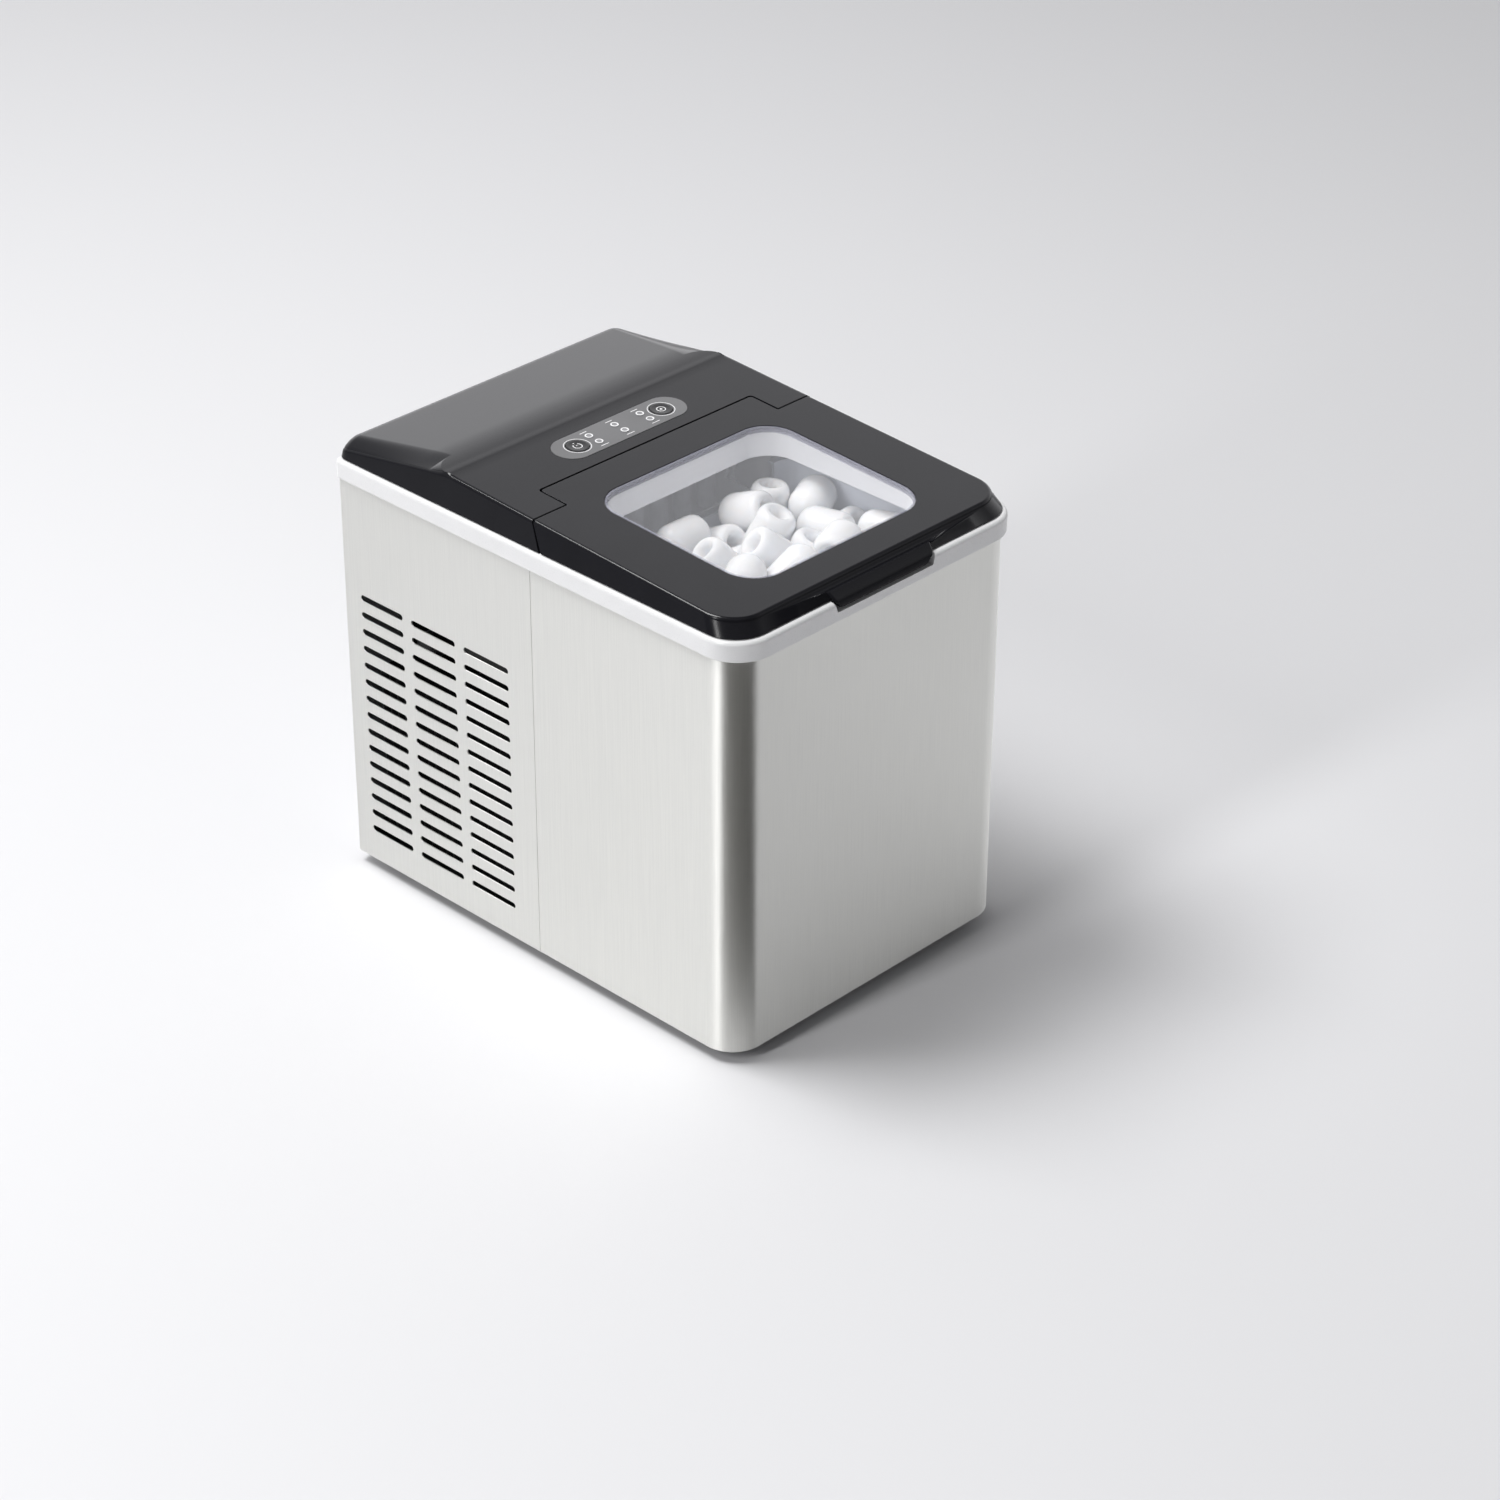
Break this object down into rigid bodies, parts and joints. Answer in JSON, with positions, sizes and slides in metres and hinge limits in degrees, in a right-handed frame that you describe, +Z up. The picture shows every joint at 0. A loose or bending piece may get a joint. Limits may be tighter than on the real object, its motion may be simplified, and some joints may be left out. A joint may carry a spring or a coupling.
{
  "type": "ice maker",
  "caption": "Counter-top ice maker: brushed steel case, black hinged lid with a clear window, ice basket, tilting water tray, chilled fingers and a cooling unit behind.",
  "frame": {"origin": "on the floor under the feet, at the centre of the overall box in plan", "axes": "+Z up, the front with the lid grip faces -Y, +X to the right seen from the front"},
  "size_m": [0.2456, 0.35, 0.3133],
  "materials": {
    "brushed_steel": "brushed, fine upright grain",
    "coated_panel": "satin grey coating",
    "base_plastic": "fine matte texture",
    "rubber": "matte",
    "screw_steel": "zinc plated",
    "rim_plastic": "smooth",
    "cover_plastic": "satin top, glossy sides",
    "window_clear": "polished clear plastic",
    "overlay_film": "satin printed film",
    "lamp_lens": "translucent",
    "circuit_board": "solder mask",
    "white_plastic": "smooth",
    "grey_silicone": "matte",
    "foam": "closed cell foam",
    "basket_plastic": "frosted",
    "nickel_plate": "satin nickel",
    "motor_steel": "zinc grey",
    "sensor_plastic": "dark infra-red window",
    "compressor_paint": "black enamel",
    "fin_aluminium": "bright",
    "copper": "drawn copper",
    "fan_plastic": "moulded"
  },
  "bodies": {
    "case": {"base_screws": "screw_steel", "base_tray": "base_plastic", "bin_insulation": "foam", "bin_liner": "white_plastic", "board_bracket": "coated_panel", "board_screws": "screw_steel", "compressor": "compressor_paint", "compressor_base": "coated_panel", "compressor_grommets": "rubber", "condenser_fins": "fin_aluminium", "condenser_tube": "copper", "control_overlay": "overlay_film", "cord_gland": "rubber", "display_board": "circuit_board", "display_board_screws": "screw_steel", "drain_hose": "grey_silicone", "drain_spout": "base_plastic", "evaporator": "nickel_plate", "evaporator_bracket": "white_plastic", "fan_motor": "motor_steel", "fan_shroud": "base_plastic", "fill_spout": "white_plastic", "filter_drier": "copper", "front_shell": "brushed_steel", "hinge_pins": "screw_steel", "hot_gas_valve": "motor_steel", "ice_sensors": "sensor_plastic", "indicator_lenses": "lamp_lens", "left_side_panel": "brushed_steel", "level_probes": "screw_steel", "main_board": "circuit_board", "partition_panel": "coated_panel", "pump_hoses": "grey_silicone", "rear_cover": "cover_plastic", "rear_panel": "coated_panel", "rear_panel_screws": "screw_steel", "refrigerant_lines": "copper", "right_side_panel": "brushed_steel", "rubber_feet": "rubber", "terminal_cover": "base_plastic", "top_rim": "rim_plastic", "tray_motor": "motor_steel", "water_pump": "base_plastic"},
    "lid": {"lid_frame": "cover_plastic", "lid_window": "window_clear", "lid_inner_frame": "white_plastic", "lid_gasket": "grey_silicone", "lid_screws": "screw_steel"},
    "water_tray": {"water_tray": "white_plastic", "tray_shafts": "screw_steel"},
    "ice_shovel": {"ice_shovel": "white_plastic"},
    "ice_basket": {"ice_basket": "basket_plastic"},
    "fan": {"fan_blade": "fan_plastic"},
    "pump_impeller": {"pump_impeller": "white_plastic"},
    "drain_cap": {"drain_cap": "base_plastic"},
    "power_button": {"power_button": "overlay_film"},
    "select_button": {"select_button": "overlay_film"}
  },
  "joints": [
    {"name": "lid_hinge", "type": "hinge", "parent": "case", "child": "lid", "pos_m": [0, 0.012, 0.3057], "axis": [-1, 0, 0], "range_deg": [0, 88]},
    {"name": "water_tray_tilt", "type": "hinge", "parent": "case", "child": "water_tray", "pos_m": [0, 0.045, 0.252], "axis": [1, 0, 0], "range_deg": [0, 95]},
    {"name": "ice_shovel_sweep", "type": "hinge", "parent": "case", "child": "ice_shovel", "pos_m": [0, 0.045, 0.252], "axis": [1, 0, 0], "range_deg": [0, 42.75]},
    {"name": "basket_lift", "type": "slide", "parent": "case", "child": "ice_basket", "axis": [0, 0, 1], "range_m": [0, 0.009]},
    {"name": "fan_spin", "type": "hinge", "parent": "case", "child": "fan", "pos_m": [-0.063, 0.092, 0.088], "axis": [1, 0, 0], "continuous": true},
    {"name": "pump_impeller_spin", "type": "hinge", "parent": "case", "child": "pump_impeller", "pos_m": [0.088, 0.046, 0.023], "axis": [0, 0, 1], "continuous": true},
    {"name": "drain_cap_turn", "type": "hinge", "parent": "case", "child": "drain_cap", "pos_m": [-0.025, 0.165, 0.038], "axis": [0, 1, 0], "range_deg": [0, 180]},
    {"name": "power_button_press", "type": "slide", "parent": "case", "child": "power_button", "axis": [0, 0.0481, -0.9988], "range_m": [0, 0.0007], "stiffness_N_per_m": 800, "springref_m": -0.0004},
    {"name": "select_button_press", "type": "slide", "parent": "case", "child": "select_button", "axis": [0, 0.0481, -0.9988], "range_m": [0, 0.0007], "stiffness_N_per_m": 800, "springref_m": -0.0004}
  ],
  "couplings": [
    {"joint": "ice_shovel_sweep", "follows": "water_tray_tilt", "ratio": 0.45}
  ]
}
